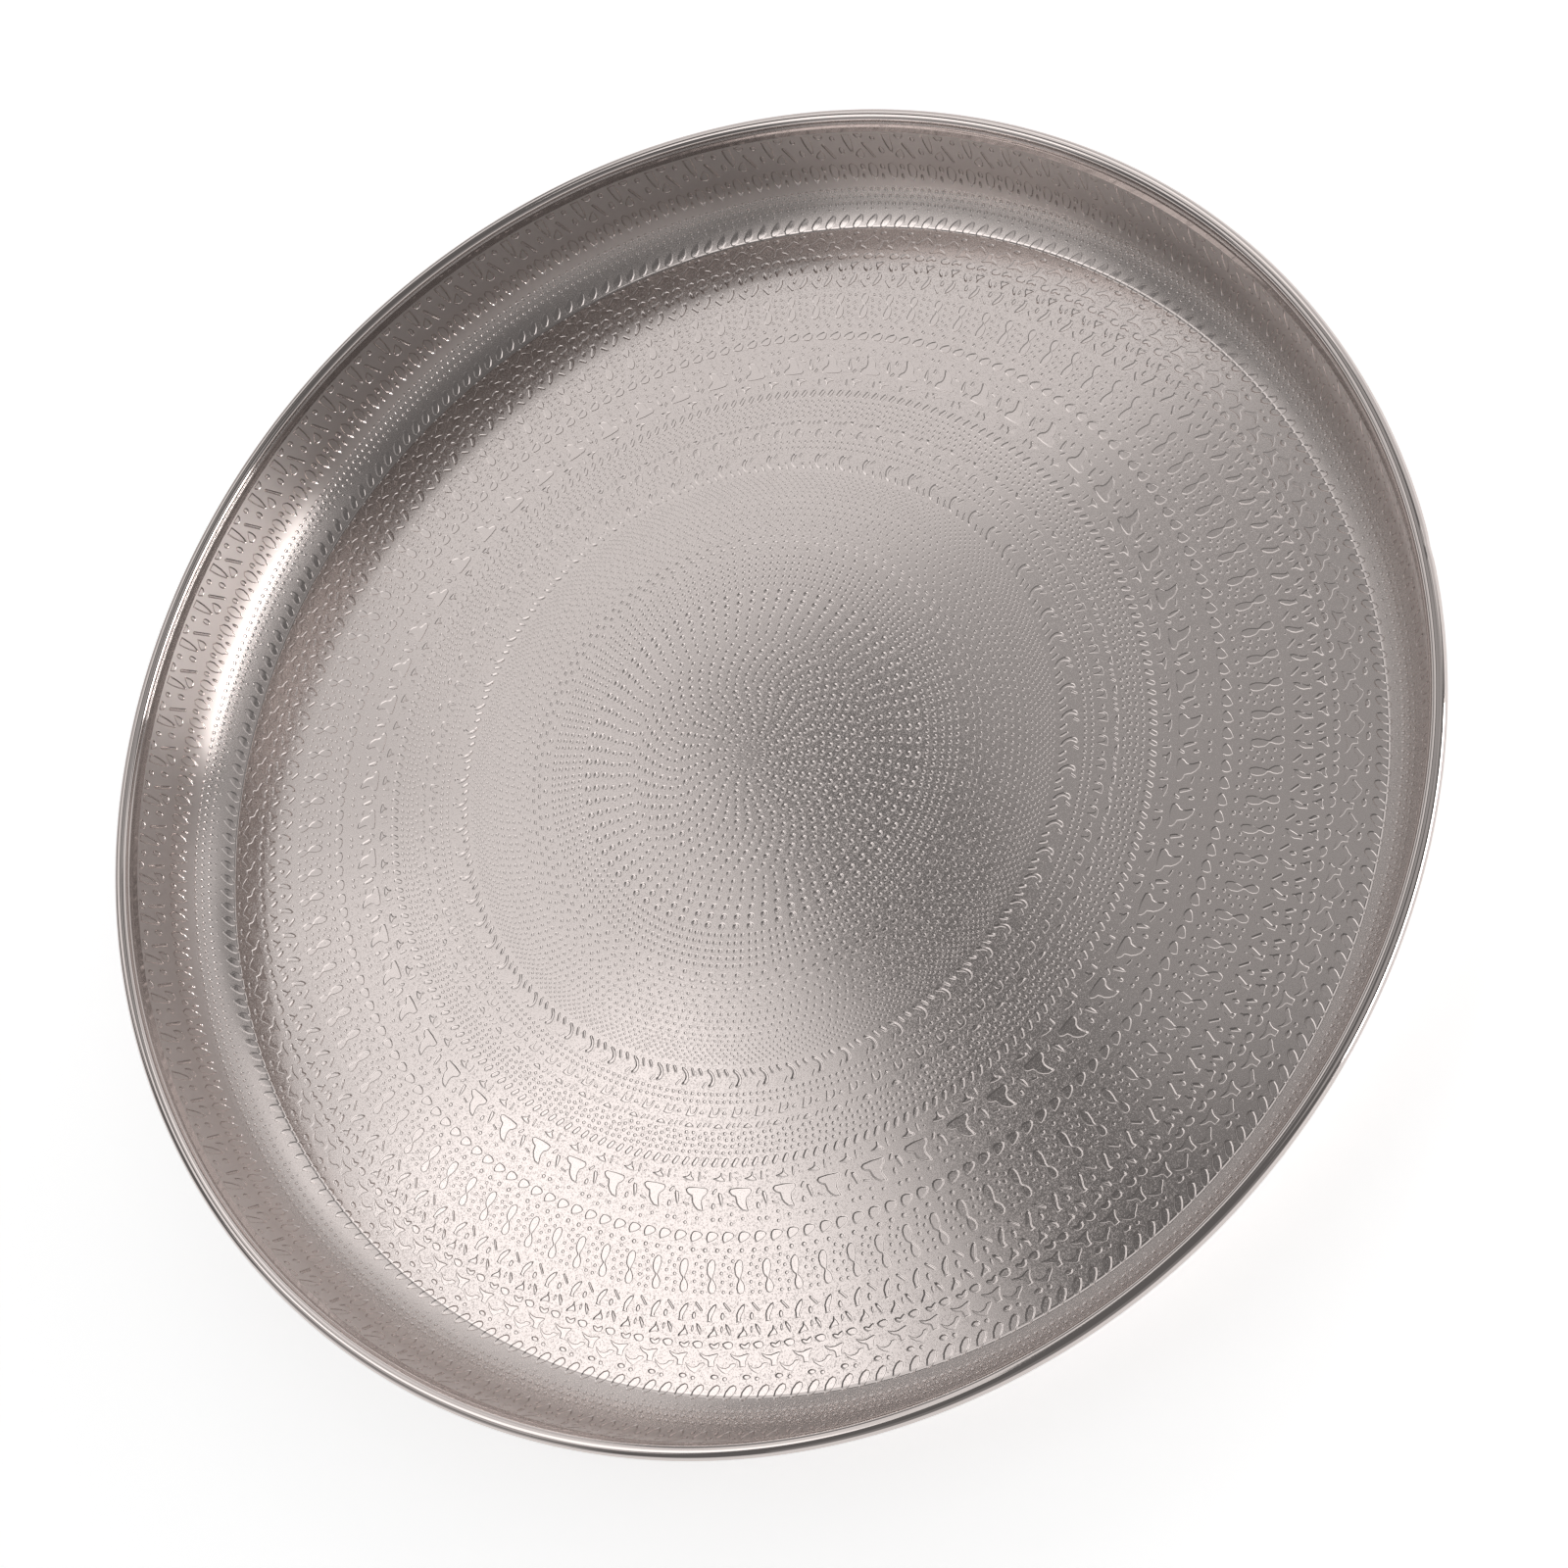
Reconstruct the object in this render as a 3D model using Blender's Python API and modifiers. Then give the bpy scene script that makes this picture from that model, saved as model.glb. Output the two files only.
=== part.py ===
"""Round serving tray pressed from one steel sheet, its edge rolled round a rim wire.

Units are metres and +Z is up. The origin is the middle of the underside, on which the tray rests.
The pan is drawn as one section line, the face that holds and shows: it runs from the middle of the
floor over the crease, up the cove and the wall and once round the bead. The sheet lies behind it.
"""
from math import acos, cos, pi, radians, sin, tan

import bpy

# Overall sizes
OUTER_DIAMETER = 0.400
HEIGHT = 0.0404

# Sheet and rolled rim
SHEET = 0.0006
BEAD_DIAMETER = 0.0043
CURL_GAP = 0.0005
WIRE_CLEARANCE = 0.0003
WIRE_END_GAP = 0.0005
WIRE_JOIN_DIRECTION = radians(-39.0)

# Wall and cove, from the crease at the floor's edge to the bead; slopes are angles above the floor
WALL_SLOPE = radians(87.0)
CREASE_SLOPE = radians(29.0)
COVE_MIDDLE_SLOPE = radians(55.0)
COVE_LOWER_RADIUS = 0.0290
COVE_UPPER_RADIUS = 0.0116

# Fineness of the facets
TURN_STEPS = 96
COVE_LOWER_STEPS = 4
COVE_UPPER_STEPS = 5
BEAD_STEPS = 14
WIRE_BEVEL_RESOLUTION = 2
MERGE_DISTANCE = 0.00001

# Finish
STEEL_COLOUR = (0.60, 0.57, 0.55, 1.0)
PAN_ROUGHNESS = 0.28
WIRE_ROUGHNESS = 0.40

BEAD_RADIUS = BEAD_DIAMETER / 2
BEAD_CENTRE = (OUTER_DIAMETER / 2 - BEAD_RADIUS, HEIGHT - BEAD_RADIUS)
WALL_LEAN = pi / 2 - WALL_SLOPE


def clear_scene():
    for item in list(bpy.data.objects):
        bpy.data.objects.remove(item, do_unlink=True)


def new_collection(name):
    collection = bpy.data.collections.new(name)
    bpy.context.scene.collection.children.link(collection)
    return collection


def steel(name, roughness):
    material = bpy.data.materials.new(name)
    material.use_nodes = True
    surface = material.node_tree.nodes["Principled BSDF"]
    surface.inputs["Base Color"].default_value = STEEL_COLOUR
    surface.inputs["Metallic"].default_value = 1.0
    surface.inputs["Roughness"].default_value = roughness
    return material


def rising_arc(start, radius, slope_from, slope_to, steps):
    """Points after start on an arc that bends upward from one slope to another."""
    points = []
    for step in range(1, steps + 1):
        slope = slope_from + (slope_to - slope_from) * step / steps
        out = radius * (sin(slope) - sin(slope_from))
        up = radius * (cos(slope_from) - cos(slope))
        points.append((start[0] + out, start[1] + up))
    return points


def cove_line(crease):
    lower = rising_arc(crease, COVE_LOWER_RADIUS, CREASE_SLOPE, COVE_MIDDLE_SLOPE, COVE_LOWER_STEPS)
    upper = rising_arc(lower[-1], COVE_UPPER_RADIUS, COVE_MIDDLE_SLOPE, WALL_SLOPE, COVE_UPPER_STEPS)
    return lower + upper


def bead_line():
    """The rolled edge, from where it leaves the wall, over the top and back in underneath."""
    start = pi - WALL_LEAN
    reach_under = acos((BEAD_RADIUS - SHEET - CURL_GAP) / BEAD_RADIUS)
    end = reach_under - pi - WALL_LEAN
    points = []
    for step in range(BEAD_STEPS + 1):
        angle = start + (end - start) * step / BEAD_STEPS
        out, up = BEAD_RADIUS * cos(angle), BEAD_RADIUS * sin(angle)
        points.append((BEAD_CENTRE[0] + out, BEAD_CENTRE[1] + up))
    return points


def section_line():
    """The whole section line, with the crease placed so that the cove ends on the wall."""
    bead = bead_line()
    cove_width, cove_top = cove_line((0.0, SHEET))[-1]
    wall_top_radius, wall_top = bead[0]
    wall_foot_radius = wall_top_radius - (wall_top - cove_top) * tan(WALL_LEAN)
    crease = (wall_foot_radius - cove_width, SHEET)
    return [(0.0, SHEET), crease] + cove_line(crease) + bead


def make_tray_pan(collection):
    line = section_line()
    mesh = bpy.data.meshes.new("tray_pan")
    edges = [(index, index + 1) for index in range(len(line) - 1)]
    mesh.from_pydata([(radius, 0.0, height) for radius, height in line], edges, [])
    pan = bpy.data.objects.new("tray_pan", mesh)
    collection.objects.link(pan)
    pan.data.materials.append(steel("satin_steel", PAN_ROUGHNESS))

    turn = pan.modifiers.new("Turn", "SCREW")
    turn.steps = TURN_STEPS
    turn.render_steps = TURN_STEPS
    turn.use_merge_vertices = True
    turn.merge_threshold = MERGE_DISTANCE
    turn.use_smooth_shade = True

    sheet = pan.modifiers.new("Sheet", "SOLIDIFY")
    sheet.thickness = SHEET
    sheet.offset = -1.0
    sheet.use_even_offset = True
    return pan


def make_rim_wire(collection):
    """The wire inside the bead, open by a small gap where its two ends meet."""
    radius = BEAD_CENTRE[0]
    half_gap = WIRE_END_GAP / 2 / radius
    start = WIRE_JOIN_DIRECTION + half_gap
    sweep = 2 * (pi - half_gap)

    curve = bpy.data.curves.new("rim_wire", "CURVE")
    curve.dimensions = "3D"
    curve.bevel_depth = BEAD_RADIUS - SHEET - WIRE_CLEARANCE
    curve.bevel_resolution = WIRE_BEVEL_RESOLUTION
    curve.use_fill_caps = True
    spline = curve.splines.new("POLY")
    spline.points.add(TURN_STEPS)
    for index, point in enumerate(spline.points):
        angle = start + sweep * index / TURN_STEPS
        point.co = (radius * cos(angle), radius * sin(angle), BEAD_CENTRE[1], 1.0)

    wire = bpy.data.objects.new("rim_wire", curve)
    collection.objects.link(wire)
    wire.data.materials.append(steel("drawn_wire_steel", WIRE_ROUGHNESS))
    return wire


def main():
    clear_scene()
    tray = new_collection("decorative_tray")
    make_tray_pan(tray)
    make_rim_wire(tray)


main()
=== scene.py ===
"""Looks of the round embossed serving tray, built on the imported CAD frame.

Lengths are metres in the CAD frame, unless a name says otherwise. The ornament was pressed into the
flat sheet before the tray was drawn up, so it is laid out flat here too, in rings about its own
middle, and then bent along the tray's section. On the flat sheet lengths are in ornament units.
"""

from collections import namedtuple
from math import acos, cos, inf, pi, radians, sin, tan

import bpy
import numpy as np
from mathutils import Matrix, Quaternion, Vector
from mathutils.geometry import delaunay_2d_cdt


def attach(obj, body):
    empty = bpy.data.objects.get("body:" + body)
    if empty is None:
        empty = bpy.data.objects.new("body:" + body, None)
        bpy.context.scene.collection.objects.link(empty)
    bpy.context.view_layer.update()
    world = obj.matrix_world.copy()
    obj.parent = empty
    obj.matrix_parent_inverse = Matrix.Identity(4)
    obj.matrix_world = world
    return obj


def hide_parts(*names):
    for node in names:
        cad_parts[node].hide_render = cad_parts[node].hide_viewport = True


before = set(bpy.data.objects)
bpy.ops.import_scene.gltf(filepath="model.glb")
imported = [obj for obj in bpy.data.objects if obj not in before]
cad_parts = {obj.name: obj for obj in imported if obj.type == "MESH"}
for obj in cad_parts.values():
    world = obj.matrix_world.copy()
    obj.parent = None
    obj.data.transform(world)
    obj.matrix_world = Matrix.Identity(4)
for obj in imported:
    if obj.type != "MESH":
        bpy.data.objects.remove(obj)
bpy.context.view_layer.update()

# Section of the tray, as in the CAD, apart from the cove's radii and the rounded crease, which are
# fitted to the photograph
OUTER_RADIUS = 0.200
HEIGHT = 0.0404
SHEET = 0.0006
BEAD_RADIUS = 0.00215
CURL_GAP = 0.0005
WALL_SLOPE = radians(87.0)
CREASE_SLOPE = radians(29.0)
COVE_MIDDLE_SLOPE = radians(55.0)
CREASE_RADIUS = 0.0024
COVE_LOWER_RADIUS = 0.0226
COVE_UPPER_RADIUS = 0.0200
BEAD_CENTRE = (OUTER_RADIUS - BEAD_RADIUS, HEIGHT - BEAD_RADIUS)
SECTION_SAMPLES = 6000

# Ornament, in ornament units unless they are angles or shares
RADIUS_IN_UNITS = 679.34
UNIT = OUTER_RADIUS / RADIUS_IN_UNITS
ORNAMENT_SHIFT = 8.06               # of its middle from the tray's, along Y
SIDE_WIDTH = 1.7                    # of a pit's side, at most
SIDE_SHARE = 0.55                   # of a pit's half width, at most
DOT_SIDE_SHARE = 0.64               # of a dot's radius
SIDE_SLOPE = radians(15.0)          # of the sides' faces
SIDE_TILT = radians(21.0)           # of the normals halfway down the sides
SMALLEST_FLOOR = 1.25               # radius of the smallest dot with a floor
NARROWER = 0.85                     # step by which a side narrows until it fits
BORDER_SPACING = 5.0
FILL_SPACING = 6.0
FILL_CLEARANCE = 1.6
FILL_FROM = 600.0                   # bands that reach past this get points on their ground
WALL_ORNAMENT_FROM = 640.2          # bands from here on also show on the outside
WALL_LEAN = 1.5                     # how much more the normals lean on those bands
FILL_STAGGER, FILL_START = 0.5, 0.1
COPIES = 5                          # of a repeat, meshed side by side so that its edges fit

# Corners of round shapes: their first corner, as a share of a side, and the sides of dots up to a size
OVAL_TURN, DOT_TURN = 0.27, 0.31
DOT_SIDES = ((SMALLEST_FLOOR, 6), (2.6, 8), (inf, 12))

# Limits of the mesh making
SHARPEST_SPREAD = 0.6
SHORTEST_EDGE_SHARE = 0.15
FEWEST_CORNERS = 4
HULL_TRIANGLES, MERGE_DISTANCE = 0, 1e-7
LEVEL_RISE = 1e-12
NO_TILT = 1e-9

# Kinds of face, which are also the material slots of the pan
GROUND, SIDE, BEAD, BACK, DRAWN, FLOOR = range(6)

Band = namedtuple("Band", "inner outer count start reference shapes")
Shape = namedtuple("Shape", "loop is_dot")


# ---------------------------------------------------------------- shapes of the ornament

def outline(points):
    """A closed outline: distance along the ring at the band's reference radius, and radius."""
    return Shape(lambda reference: np.array(points, float), False)


def oval(x, radius, half_width, half_height, sides=10):
    turn = 2 * pi * (np.arange(sides) + OVAL_TURN) / sides
    return outline(np.stack([x + half_width * np.cos(turn), radius + half_height * np.sin(turn)], 1))


def dot(x, radius, size):
    """A round dot, kept round on the sheet whatever the band's reference radius is."""
    sides = next(sides for limit, sides in DOT_SIDES if size < limit)
    turn = 2 * pi * (np.arange(sides) + DOT_TURN) / sides

    def loop(reference):
        stretch = reference / radius
        return np.stack([x + size * stretch * np.cos(turn), radius + size * np.sin(turn)], 1)
    return Shape(loop, True)


def ring_dot(degrees, radius, size):
    """A dot placed by its angle from the band's start."""
    return Shape(lambda reference: dot(radians(degrees) * reference, radius, size).loop(reference), True)


def bar(start, end, half_width, cap=4):
    """A straight bar with round ends."""
    start, end = np.array(start, float), np.array(end, float)
    along = (end - start) / np.hypot(*(end - start))
    across = np.array([-along[1], along[0]])
    points = []
    for centre, side in ((end, -1.0), (start, 1.0)):
        for turn in np.linspace(0.0, pi, cap):
            points.append(centre + half_width * side * (across * cos(turn) - along * sin(turn)))
    return outline(points)


def ring_dash(degrees, radius, half_length, half_width):
    """A bar along the ring, placed by its angle from the band's start."""
    def loop(reference):
        x = radians(degrees) * reference
        return bar((x - half_length, radius), (x + half_length, radius), half_width).loop(reference)
    return Shape(loop, False)


# Radius, degrees and size
CENTRE_DOTS = [(0.0, 0.0, 2.4)] + [(8.8, angle, 2.3) for angle in (-82.0, 8.0, 98.0, 188.0)]
CENTRE_EDGE = 13.2

# Radii and angles of the fields of dots
CELL_ROWS = (190.0, 198.0, 206.0, 213.5, 221.0)
CELL_COLUMNS = (-2.036, 0.0, 2.036)
FINE_ROWS = ((296.0, 0.529), (300.5, 1.377), (304.5, 0.639), (308.0, 1.229), (311.0, 0.493),
             (314.3, 1.138), (317.5, 0.501))

# Outlines: distance along the ring at the reference radius, and radius
HOOK = [(-6.25, 323.3), (-3.3, 323.5), (0.8, 326.0), (3.75, 329.3), (5.25, 332.9), (5.6, 335.8),
        (4.6, 338.75), (2.7, 341.0), (0.0, 342.0), (-2.25, 341.5), (-3.1, 339.8), (-1.25, 337.7),
        (0.0, 335.2), (0.2, 333.2), (-1.0, 330.7), (-3.3, 328.5), (-5.8, 326.8), (-6.4, 325.0)]
BRACKET = [(-3.5, 360.0), (-4.75, 365.0), (-6.5, 370.25), (-1.0, 371.0), (3.0, 370.25),
           (5.25, 367.7), (6.25, 364.2), (6.4, 360.7), (3.8, 361.0), (3.7, 364.2), (2.7, 366.5),
           (0.8, 367.6), (-0.5, 367.1), (-1.3, 365.0), (-1.7, 360.2)]
WEDGE = [(11.1, 362.9), (14.2, 366.7), (13.0, 367.9), (9.0, 367.9), (8.2, 366.2)]
HALF_DOME = [(-5.4, 380.7), (-3.3, 377.9), (-0.4, 375.7), (2.1, 376.7), (4.2, 378.8), (5.6, 381.2),
             (0.0, 381.4)]
SCATTER = [(-4.2, 385.8), (4.2, 385.8), (-10.5, 389.7), (-1.7, 391.9), (5.8, 391.9), (-9.7, 396.2),
           (-2.9, 398.0), (5.0, 398.0), (10.8, 403.4), (-4.7, 404.2), (2.75, 404.2)]
FAN = [(0.7, 422.3), (2.9, 422.7), (3.3, 426.7), (5.4, 428.3), (7.1, 431.0), (5.8, 431.8), (2.5, 432.0),
       (-1.7, 431.3), (-5.4, 429.8), (-7.1, 428.75), (-5.0, 427.7), (-1.7, 426.8), (0.2, 425.4)]
TREE = [(-10.0, 437.3), (0.0, 436.7), (9.6, 437.3), (11.3, 439.3), (11.1, 442.3), (9.3, 444.8),
        (6.8, 446.7), (6.0, 449.6), (6.4, 452.9), (7.7, 456.7), (8.8, 459.8), (6.7, 460.5), (2.1, 459.2),
        (-1.8, 455.8), (-4.5, 451.8), (-5.0, 448.75), (-5.8, 446.1), (-9.2, 444.8), (-11.8, 442.3),
        (-12.6, 439.8)]
LEAF = [(21.5, 441.3), (25.4, 442.0), (27.0, 446.7), (27.3, 451.7), (26.2, 456.0), (24.2, 453.3),
        (22.5, 448.3), (21.2, 444.2)]
TEARDROP = [(-2.7, 477.7), (1.1, 477.7), (4.4, 479.0), (6.3, 481.25), (5.0, 484.3), (1.9, 486.7),
            (-1.4, 488.3), (-4.2, 489.0), (-5.7, 485.8), (-5.7, 482.1), (-4.5, 479.2)]
PEANUT = [(-2.3, 503.8), (0.9, 503.6), (3.4, 505.6), (4.3, 510.5), (3.4, 515.9), (2.1, 519.6),
          (2.0, 521.8), (4.1, 524.1), (6.1, 527.7), (6.4, 531.8), (4.5, 535.0), (0.9, 535.9),
          (-2.1, 534.4), (-3.4, 530.5), (-3.0, 526.4), (-1.6, 523.4), (-1.5, 521.7), (-3.6, 520.0),
          (-5.5, 517.3), (-6.3, 511.8), (-5.5, 507.3)]
PEANUT_DOTS = [(15.0, 501.8), (23.2, 505.3), (12.7, 508.6), (19.1, 511.6), (10.9, 516.5), (20.5, 519.0),
               (12.7, 524.5), (22.3, 526.8), (14.1, 533.6), (21.8, 534.1)]
CONE = [(3.6, 543.8), (5.0, 544.5), (4.7, 548.2), (2.7, 552.7), (0.9, 556.4), (0.5, 558.6), (2.1, 561.4),
        (-4.5, 561.4), (-4.3, 558.2), (-4.5, 553.6), (-2.7, 549.5), (0.5, 545.6)]
SLANTED_LEAF = [(-15.5, 561.8), (-12.3, 562.7), (-9.1, 567.3), (-8.8, 572.3), (-10.9, 573.2),
                (-13.2, 569.1), (-15.0, 565.5)]
BELL = [(2.2, 564.2), (4.0, 564.0), (4.6, 567.0), (6.4, 569.5), (7.6, 572.5), (6.6, 574.6), (3.5, 574.0),
        (0.6, 574.8), (-1.6, 576.4), (-3.0, 575.6), (-3.0, 573.4), (-1.0, 571.0), (1.5, 568.4),
        (2.0, 566.2)]
BOWL = [(-17.7, 580.0), (-16.8, 582.7), (-13.6, 585.3), (-9.5, 585.5), (-6.8, 583.6), (-6.4, 580.0),
        (-8.6, 577.9), (-11.4, 577.5), (-15.0, 578.2)]
CUP = [(-1.3, 580.2), (-0.4, 583.0), (2.8, 585.4), (6.9, 585.5), (9.6, 583.6), (10.3, 580.4), (9.0, 577.9),
       (6.8, 579.0), (4.4, 580.6), (1.6, 579.4)]
STAR = [(-9.8, 588.4), (-6.8, 589.4), (-3.5, 590.4), (0.0, 590.5), (4.0, 589.3), (7.0, 588.5), (9.3, 588.7),
        (8.8, 590.8), (7.0, 593.0), (5.9, 596.0), (5.8, 601.2), (-0.5, 601.2), (-0.7, 596.5), (-1.8, 595.2),
        (-5.2, 594.0), (-8.2, 591.6)]
CRESCENT = [(-22.4, 597.6), (-20.6, 598.6), (-18.5, 600.6), (-16.0, 601.6), (-13.0, 601.4), (-10.4, 600.2),
            (-8.6, 597.8), (-6.0, 597.2), (-3.2, 597.6), (-3.6, 599.8), (-6.0, 602.0), (-9.2, 604.4),
            (-10.8, 606.6), (-13.2, 607.2), (-17.0, 605.2), (-20.5, 602.0)]
PETAL = [(2.3, 615.9), (5.0, 617.3), (5.6, 620.5), (3.5, 624.5), (0.5, 628.0), (-4.0, 632.0), (-6.5, 631.0),
         (-6.8, 627.5), (-5.3, 622.5), (-1.5, 617.8)]
LENS = [(0.0, 668.4), (1.1, 669.0), (4.4, 676.8), (4.7, 684.5), (2.8, 692.3), (-1.7, 695.1), (-6.1, 690.1),
        (-7.2, 683.4), (-5.0, 674.5)]
BLADE = [(-0.6, 711.0), (1.1, 714.3), (2.8, 723.2), (3.7, 732.1), (3.9, 742.7), (-6.4, 742.1),
         (-5.8, 727.7), (-4.4, 718.8), (-2.2, 712.1)]
WALL_DROP = [(-12.8, 702.7), (-8.9, 701.9), (-5.0, 703.8), (-3.3, 707.7), (-5.6, 712.1), (-10.0, 716.6),
             (-13.3, 719.3), (-14.4, 715.4), (-15.0, 709.9), (-14.4, 705.4)]
HALF_DISC = [(-22.5, 743.0), (-22.0, 739.0), (-19.0, 735.3), (-16.0, 734.5), (-13.0, 736.0),
             (-11.3, 740.0), (-11.0, 743.0)]


def ring_dots(rows):
    return [ring_dot(degrees, radius, size) for radius, degrees, size in rows]


BANDS = [
    Band(13.6, 45.3, 17, 0.0, 29.0, ring_dots([
        (17.0, 8.594, 2.4), (25.2, 12.737, 3.1), (33.0, 14.02, 3.3), (41.0, 17.095, 3.7)])),
    Band(45.7, 76.3, 34, 0.0, 61.0, ring_dots([
        (49.4, 10.557, 3.0), (57.1, 2.149, 3.2), (64.5, 3.552, 3.3), (72.0, 4.488, 3.7)])),
    Band(76.7, 130.0, 51, 0.0, 103.0, ring_dots([
        (80.2, 6.126, 3.0), (88.4, 4.413, 3.2), (96.5, 1.722, 3.3), (104.7, 5.978, 3.6),
        (112.9, 3.198, 3.8), (120.5, 0.865, 3.0), (126.2, 4.665, 3.0)])),
    Band(130.6, 185.5, 75, 0.0, 158.0, ring_dots([
        (134.5, 3.319, 3.1), (143.1, 2.916, 3.1), (152.2, 2.761, 3.2), (161.3, 1.774, 3.6),
        (171.1, 1.326, 4.0), (180.8, 1.094, 4.1), (180.8, 3.494, 0.9)])),
    Band(186.4, 224.6, 55, 6.2, 205.0, ring_dots([
        (row, column, 2.6) for row in CELL_ROWS for column in CELL_COLUMNS])),
    Band(225.6, 234.2, 102, 0.77, 230.0, ring_dots([(230.5, 0.0, 2.8)])),
    Band(235.0, 265.0, 125, 0.0, 250.0, [
        ring_dash(1.242, 238.0, 1.9, 1.7), ring_dash(2.127, 244.7, 1.9, 1.7)] + ring_dots([
            (251.5, 1.109, 2.2), (257.0, 0.002, 2.2), (262.0, 1.015, 2.2)])),
    Band(266.2, 293.2, 205, 0.0, 280.0, ring_dots([
        (269.5, 0.513, 2.1), (276.5, 0.017, 2.1), (283.5, 1.152, 2.1), (290.5, 0.363, 2.1)])),
    Band(294.0, 320.0, 260, 0.0, 307.0, ring_dots([
        (radius, degrees, 1.6) for radius, degrees in FINE_ROWS])),
    Band(321.2, 344.4, 75, 267.387, 380.0, [
        outline(HOOK), bar((6.8, 324.4), (10.2, 330.7), 1.8), bar((16.0, 324.4), (19.6, 329.3), 2.2),
        bar((-8.7, 341.6), (-5.4, 337.0), 1.5)]),
    Band(345.2, 358.2, 320, 0.0, 352.0, ring_dots([(348.3, 0.439, 2.2), (355.3, 0.436, 2.2)])),
    Band(359.0, 372.6, 96, 269.297, 380.0, [outline(BRACKET), outline(WEDGE)]),
    Band(373.6, 382.6, 78, 267.513, 380.0, [
        outline(HALF_DOME), bar((9.2, 380.2), (11.8, 376.6), 1.4), bar((15.4, 379.5), (17.0, 376.3), 1.1),
        bar((20.6, 379.4), (22.9, 376.0), 1.1)]),
    Band(383.2, 406.8, 120, 268.038, 440.0, [dot(x, radius, 2.2) for x, radius in SCATTER]),
    Band(407.2, 419.6, 252, 265.629, 440.0, [bar((-1.7, 415.9), (1.7, 410.7), 2.8)]),
    Band(420.6, 433.4, 84, 269.232, 440.0, [
        outline(FAN), bar((11.5, 423.3), (11.5, 430.0), 1.3), dot(18.2, 422.9, 1.4),
        dot(18.2, 428.3, 1.4)]),
    Band(435.2, 474.0, 62, 271.511, 440.0, [
        outline(TREE), bar((16.7, 442.6), (19.2, 439.0), 1.7), oval(17.5, 454.6, 2.2, 3.7), outline(LEAF),
        bar((-12.5, 452.5), (-7.5, 454.0), 1.2), dot(-8.3, 462.0, 2.1), dot(2.5, 466.2, 2.1),
        dot(18.3, 467.0, 2.5), dot(25.4, 467.0, 2.5), dot(-8.3, 470.8, 2.1)]),
    Band(475.6, 490.6, 186, 266.215, 440.0, [outline(TEARDROP)]),
    Band(492.0, 499.0, 250, 0.673, 495.0, [dot(0.0, 495.6, 2.6)]),
    Band(499.4, 538.4, 115, 268.918, 565.0,
         [outline(PEANUT)] + [dot(x, radius, 2.1) for x, radius in PEANUT_DOTS]),
    Band(540.6, 614.2, 120, 267.259, 565.0, [
        outline(CONE), bar((-17.0, 544.0), (-10.6, 550.8), 1.6), oval(-2.9, 543.9, 0.9, 1.8, 7),
        oval(11.4, 555.5, 2.5, 4.0), oval(11.2, 567.4, 1.5, 3.6), outline(SLANTED_LEAF), outline(BELL),
        outline(BOWL), outline(CUP), outline(STAR), outline(CRESCENT), oval(6.4, 609.7, 4.2, 2.7),
        oval(16.0, 611.4, 2.4, 2.2)]),
    Band(615.0, 639.6, 240, 266.475, 565.0, [outline(PETAL), dot(-1.5, 637.4, 1.8)]),
    Band(640.2, 664.0, 480, 0.0, 651.0, ring_dots([
        (643.2, 0.03, 2.4), (650.9, 0.34, 2.4), (658.4, 0.72, 2.4)])),
    Band(667.0, 697.8, 182, 128.529, 692.5, [
        outline(LENS), oval(12.8, 674.0, 1.9, 5.0), oval(10.3, 687.9, 3.2, 5.4)]),
    Band(699.6, 745.4, 91, 127.886, 692.5, [
        outline(BLADE), outline(WALL_DROP), bar((-25.3, 704.0), (-18.0, 727.0), 2.0),
        oval(10.6, 715.5, 3.4, 6.2, 12), oval(15.6, 735.6, 3.2, 4.4), outline(HALF_DISC)]),
]


# ---------------------------------------------------------------- flat mesh of the ornament

def signed_area(loop):
    x, y = loop[:, 0], loop[:, 1]
    return 0.5 * np.sum(x * np.roll(y, -1) - y * np.roll(x, -1))


def half_width(loop):
    """About half the width of an outline's narrow way."""
    lengths = np.hypot(*(np.roll(loop, -1, 0) - loop).T)
    return 2 * abs(signed_area(loop)) / lengths.sum()


def inset(loop, width):
    """The outline moved inward, without the points that would fold over, and the inward directions."""
    while True:
        after, before = np.roll(loop, -1, 0) - loop, loop - np.roll(loop, 1, 0)
        after_normal = np.stack([-after[:, 1], after[:, 0]], 1) / np.hypot(*after.T)[:, None]
        before_normal = np.stack([-before[:, 1], before[:, 0]], 1) / np.hypot(*before.T)[:, None]
        inward = after_normal + before_normal
        spread = np.maximum(1 + np.sum(after_normal * before_normal, 1), SHARPEST_SPREAD)
        moved = loop + width * inward / spread[:, None]
        moved_after = np.roll(moved, -1, 0) - moved
        kept = np.sum(moved_after * after, 1) > SHORTEST_EDGE_SHARE * np.sum(after * after, 1)
        if kept.all() or len(loop) <= FEWEST_CORNERS:
            return moved, inward
        fold = int(np.argmin(kept))
        partner = (fold + 1) % len(loop)
        loop = loop.copy()
        loop[fold] = (loop[fold] + loop[partner]) / 2
        loop = np.delete(loop, partner, 0)


def cross_product(a, b):
    return a[..., 0] * b[..., 1] - a[..., 1] * b[..., 0]


def loops_cross(first, second):
    """Whether any edge of one closed loop crosses an edge of the other."""
    a, b = first[:, None], np.roll(first, -1, 0)[:, None]
    c, d = second[None], np.roll(second, -1, 0)[None]
    apart = cross_product(b - a, c - a) * cross_product(b - a, d - a)
    astride = cross_product(d - c, a - c) * cross_product(d - c, b - c)
    return bool(((apart < 0) & (astride < 0)).any())


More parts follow.
